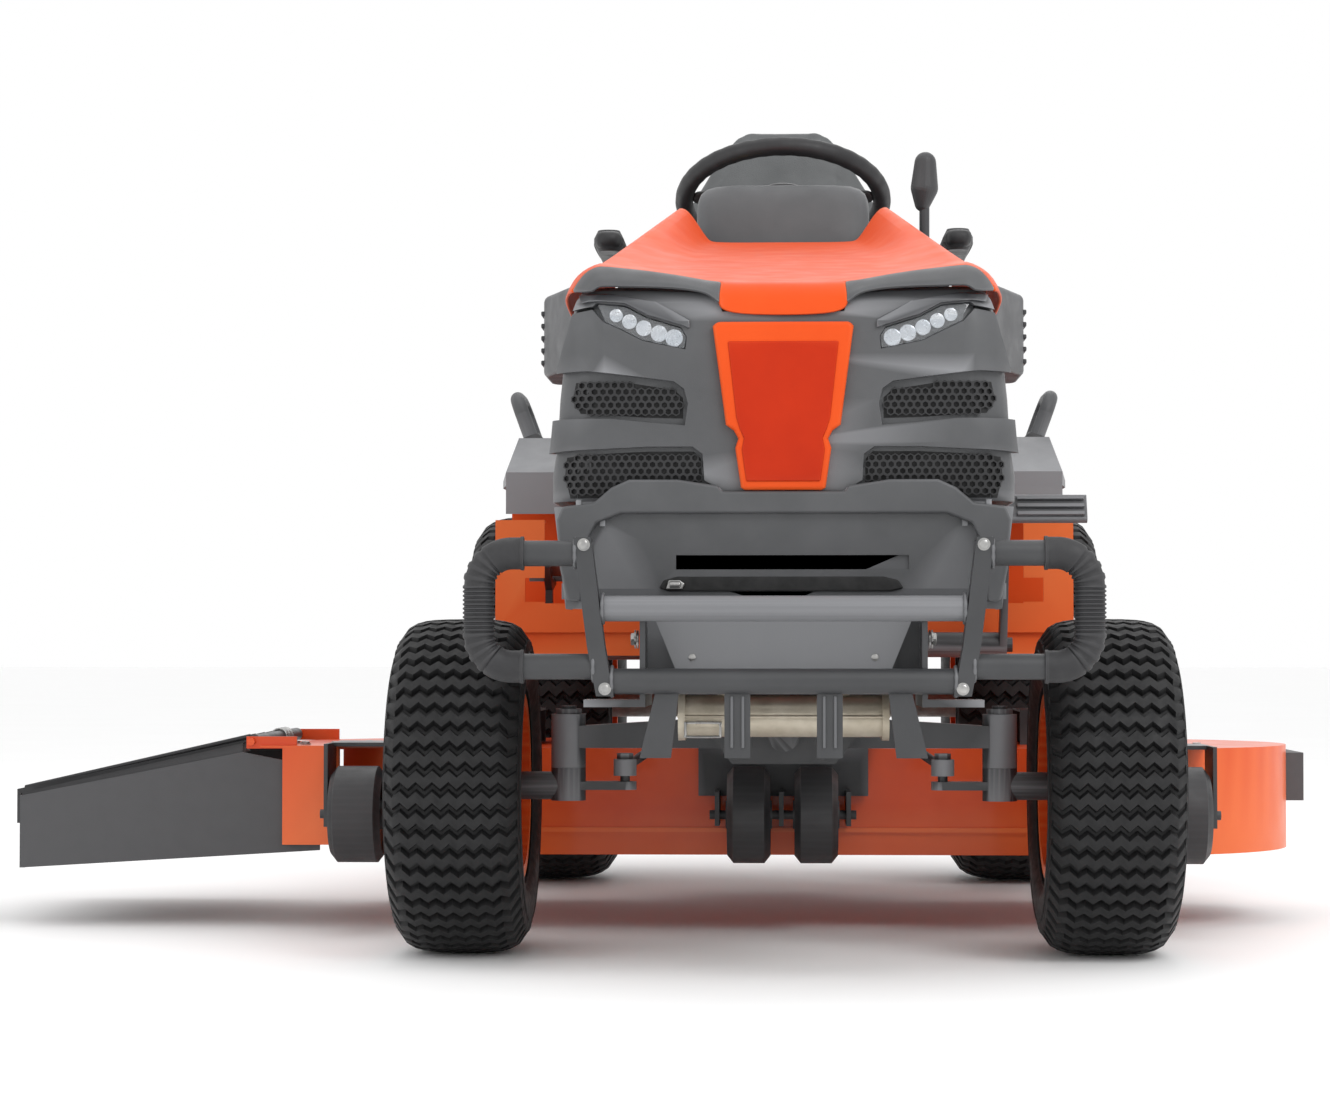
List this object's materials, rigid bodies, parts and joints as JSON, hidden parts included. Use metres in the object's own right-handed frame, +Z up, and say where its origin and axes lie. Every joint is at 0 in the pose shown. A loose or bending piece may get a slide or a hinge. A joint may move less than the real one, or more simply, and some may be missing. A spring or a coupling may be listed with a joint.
{
  "type": "garden tractor with mowing deck",
  "caption": "Front-steered ride-on garden tractor with a tilting hood, brush guard, high-back seat and a mid-mount side-discharge mowing deck.",
  "frame": {"origin": "middle of the footprint, on the ground", "axes": "+Z up, -Y the driving direction, +X the driver's left"},
  "size_m": [1.754, 2.0104, 1.225],
  "materials": {
    "orange_paint": "gloss",
    "orange_plastic": "gloss",
    "deep_orange_plastic": "gloss",
    "grey_plastic": "satin",
    "black_paint": "satin",
    "black_plastic": "satin",
    "black_rubber": "matte",
    "tyre_rubber": "matte",
    "steel": "satin",
    "cast_metal": "matte",
    "aluminium": "satin",
    "muffler_metal": "matte",
    "lamp_lens": "gloss",
    "seat_vinyl": "satin",
    "yellow_plastic": "gloss"
  },
  "bodies": {
    "chassis": {"frame_rails": "black_paint", "axle_bracket": "black_paint", "engine_block": "aluminium", "engine_shroud": "black_plastic", "muffler": "muffler_metal", "heat_shield": "grey_plastic", "lower_fascia": "grey_plastic", "guard_frame": "black_paint", "guard_sleeves": "black_rubber", "dash_cowl": "grey_plastic", "transaxle": "cast_metal", "fender_pan": "orange_paint", "fender_covers": "grey_plastic", "grab_handles": "grey_plastic", "seat_rails": "black_paint"},
    "hood": {"hood_top": "orange_plastic", "grille": "grey_plastic", "grille_insert": "deep_orange_plastic", "headlights": "lamp_lens", "grille_mesh": "black_plastic"},
    "steering_wheel": {"steering_wheel": "black_plastic"},
    "steering_pinion": {"steering_pinion": "steel"},
    "steering_sector": {"steering_sector": "steel"},
    "drag_link_left": {"drag_link_left": "black_paint"},
    "drag_link_right": {"drag_link_right": "black_paint"},
    "front_axle": {"front_axle": "cast_metal"},
    "spindle_left": {"spindle_left": "black_paint"},
    "spindle_right": {"spindle_right": "black_paint"},
    "front_wheel_left": {"front_rim_left": "orange_paint", "front_tyre_left": "tyre_rubber"},
    "front_wheel_right": {"front_rim_right": "orange_paint", "front_tyre_right": "tyre_rubber"},
    "rear_wheel_left": {"rear_rim_left": "orange_paint", "rear_tyre_left": "tyre_rubber"},
    "rear_wheel_right": {"rear_rim_right": "orange_paint", "rear_tyre_right": "tyre_rubber"},
    "seat_slider": {"seat_slider": "black_paint"},
    "seat": {"seat_shell": "black_plastic", "seat_cushion": "seat_vinyl", "seat_back": "seat_vinyl"},
    "armrest_left": {"armrest_left": "black_plastic"},
    "armrest_right": {"armrest_right": "black_plastic"},
    "lift_lever": {"lift_lever": "black_paint"},
    "deck": {"deck_brackets": "black_paint", "deck_shell": "orange_paint", "belt_covers": "black_plastic", "side_bumper": "black_rubber"},
    "blade_left": {"blade_left": "steel"},
    "blade_middle": {"blade_middle": "steel"},
    "blade_right": {"blade_right": "steel"},
    "crank_pulley": {"crank_pulley": "steel"},
    "deflector": {"deflector": "black_plastic"},
    "scalp_wheel_left": {"scalp_wheel_left": "black_plastic"},
    "scalp_wheel_right": {"scalp_wheel_right": "black_plastic"},
    "scalp_wheels_middle": {"scalp_wheels_middle": "black_plastic"},
    "brake_pedal": {"brake_pedal": "black_paint"},
    "drive_pedals": {"drive_pedals": "black_paint"},
    "ignition_key": {"ignition_key": "steel"},
    "throttle_lever": {"throttle_lever": "black_plastic"},
    "pto_knob": {"pto_knob": "yellow_plastic"}
  },
  "joints": [
    {"name": "steering_wheel_turn", "type": "hinge", "parent": "chassis", "child": "steering_wheel", "pos_m": [0.159, 0.15325, 1.015], "axis": [0, 0.4226, 0.9063], "range_deg": [-112, 112]},
    {"name": "pinion_turn", "type": "hinge", "parent": "chassis", "child": "steering_pinion", "pos_m": [0.159, -0.01155, 0.312], "axis": [0, 0, 1], "range_deg": [-113, 113]},
    {"name": "sector_swing", "type": "hinge", "parent": "chassis", "child": "steering_sector", "pos_m": [0.159, -0.12675, 0.312], "axis": [0, 0, 1], "range_deg": [-17, 17]},
    {"name": "axle_roll", "type": "hinge", "parent": "chassis", "child": "front_axle", "pos_m": [0.159, -0.55675, 0.265], "axis": [0, 1, 0], "range_deg": [-6, 6]},
    {"name": "spindle_left_steer", "type": "hinge", "parent": "front_axle", "child": "spindle_left", "pos_m": [0.421, -0.55675, 0.203], "axis": [0, 0, 1], "range_deg": [-28.4, 28.4]},
    {"name": "drag_link_left_swing", "type": "hinge", "parent": "spindle_left", "child": "drag_link_left", "pos_m": [0.352, -0.55675, 0.225], "axis": [0, 0, 1], "range_deg": [-30.3, 30.3]},
    {"name": "front_wheel_left_roll", "type": "hinge", "parent": "spindle_left", "child": "front_wheel_left", "pos_m": [0.547, -0.55675, 0.203], "axis": [1, 0, 0], "continuous": true},
    {"name": "rear_wheel_left_roll", "type": "hinge", "parent": "chassis", "child": "rear_wheel_left", "pos_m": [0.539, 0.71325, 0.292], "axis": [1, 0, 0], "continuous": true},
    {"name": "spindle_right_steer", "type": "hinge", "parent": "front_axle", "child": "spindle_right", "pos_m": [-0.103, -0.55675, 0.203], "axis": [0, 0, 1], "range_deg": [-28.4, 28.4]},
    {"name": "drag_link_right_swing", "type": "hinge", "parent": "spindle_right", "child": "drag_link_right", "pos_m": [-0.034, -0.55675, 0.225], "axis": [0, 0, 1], "range_deg": [-30.3, 30.3]},
    {"name": "front_wheel_right_roll", "type": "hinge", "parent": "spindle_right", "child": "front_wheel_right", "pos_m": [-0.229, -0.55675, 0.203], "axis": [1, 0, 0], "continuous": true},
    {"name": "rear_wheel_right_roll", "type": "hinge", "parent": "chassis", "child": "rear_wheel_right", "pos_m": [-0.221, 0.71325, 0.292], "axis": [1, 0, 0], "continuous": true},
    {"name": "hood_tilt", "type": "hinge", "parent": "chassis", "child": "hood", "pos_m": [0.159, -0.89075, 0.53], "axis": [1, 0, 0], "range_deg": [0, 60]},
    {"name": "seat_adjust", "type": "slide", "parent": "chassis", "child": "seat_slider", "axis": [0, 1, 0], "range_m": [-0.05, 0.05]},
    {"name": "seat_tilt", "type": "hinge", "parent": "seat_slider", "child": "seat", "pos_m": [0.159, 0.27325, 0.658], "axis": [1, 0, 0], "range_deg": [0, 25]},
    {"name": "armrest_left_fold", "type": "hinge", "parent": "seat", "child": "armrest_left", "pos_m": [0.412, 0.65825, 0.955], "axis": [-1, 0, 0], "range_deg": [0, 80]},
    {"name": "armrest_right_fold", "type": "hinge", "parent": "seat", "child": "armrest_right", "pos_m": [-0.094, 0.65825, 0.955], "axis": [-1, 0, 0], "range_deg": [0, 80]},
    {"name": "lift_lever_pull", "type": "hinge", "parent": "chassis", "child": "lift_lever", "pos_m": [0.355, 0.01725, 0.384], "axis": [-1, 0, 0], "range_deg": [0, 24]},
    {"name": "deck_lift", "type": "slide", "parent": "chassis", "child": "deck", "axis": [0, 0, 1], "range_m": [-0.059, 0]},
    {"name": "crank_spin", "type": "hinge", "parent": "chassis", "child": "crank_pulley", "pos_m": [0.159, -0.42675, 0.32], "axis": [0, 0, 1], "continuous": true},
    {"name": "blade_left_spin", "type": "hinge", "parent": "deck", "child": "blade_left", "pos_m": [0.603, 0.02125, 0.2], "axis": [0, 0, 1], "continuous": true},
    {"name": "blade_middle_spin", "type": "hinge", "parent": "deck", "child": "blade_middle", "pos_m": [0.152, 0.17125, 0.2], "axis": [0, 0, 1], "continuous": true},
    {"name": "blade_right_spin", "type": "hinge", "parent": "deck", "child": "blade_right", "pos_m": [-0.299, 0.02125, 0.2], "axis": [0, 0, 1], "continuous": true},
    {"name": "deflector_flip", "type": "hinge", "parent": "deck", "child": "deflector", "pos_m": [-0.547, 0.04325, 0.246], "axis": [0, 1, 0], "range_deg": [0, 80]},
    {"name": "scalp_wheel_left_roll", "type": "hinge", "parent": "deck", "child": "scalp_wheel_left", "pos_m": [0.672, -0.30125, 0.1545], "axis": [1, 0, 0], "continuous": true},
    {"name": "scalp_wheel_right_roll", "type": "hinge", "parent": "deck", "child": "scalp_wheel_right", "pos_m": [-0.394, -0.30125, 0.1545], "axis": [1, 0, 0], "continuous": true},
    {"name": "scalp_wheels_middle_roll", "type": "hinge", "parent": "deck", "child": "scalp_wheels_middle", "pos_m": [0.158, -0.30125, 0.1545], "axis": [1, 0, 0], "continuous": true},
    {"name": "brake_press", "type": "hinge", "parent": "chassis", "child": "brake_pedal", "pos_m": [0.459, -0.10175, 0.375], "axis": [1, 0, 0], "range_deg": [0, 20], "stiffness_Nm_per_rad": 30, "springref_deg": -20.05},
    {"name": "drive_press", "type": "hinge", "parent": "chassis", "child": "drive_pedals", "pos_m": [-0.171, 0.04725, 0.37], "axis": [1, 0, 0], "range_deg": [-9, 9], "stiffness_Nm_per_rad": 30},
    {"name": "ignition_turn", "type": "hinge", "parent": "chassis", "child": "ignition_key", "pos_m": [0.229, -0.00433, 0.96561], "axis": [0, 0.6627, 0.7489], "range_deg": [-80, 0]},
    {"name": "blade_clutch_pull", "type": "slide", "parent": "chassis", "child": "pto_knob", "axis": [0, 0.6627, 0.7489], "range_m": [0, 0.012]},
    {"name": "throttle_swing", "type": "hinge", "parent": "chassis", "child": "throttle_lever", "pos_m": [0.159, -0.03833, 0.94228], "axis": [1, 0, 0], "range_deg": [-20, 20]}
  ],
  "couplings": [
    {"joint": "pinion_turn", "follows": "steering_wheel_turn", "ratio": 1},
    {"joint": "sector_swing", "follows": "steering_wheel_turn", "ratio": -0.14286},
    {"joint": "spindle_left_steer", "follows": "steering_wheel_turn", "ratio": 0.24802},
    {"joint": "drag_link_left_swing", "follows": "steering_wheel_turn", "ratio": -0.26538},
    {"joint": "spindle_right_steer", "follows": "steering_wheel_turn", "ratio": 0.24802},
    {"joint": "drag_link_right_swing", "follows": "steering_wheel_turn", "ratio": -0.26538},
    {"joint": "deck_lift", "follows": "lift_lever_pull", "m_per_rad": -0.13898},
    {"joint": "blade_left_spin", "follows": "crank_spin", "ratio": 1},
    {"joint": "blade_middle_spin", "follows": "crank_spin", "ratio": 1},
    {"joint": "blade_right_spin", "follows": "crank_spin", "ratio": 1}
  ]
}
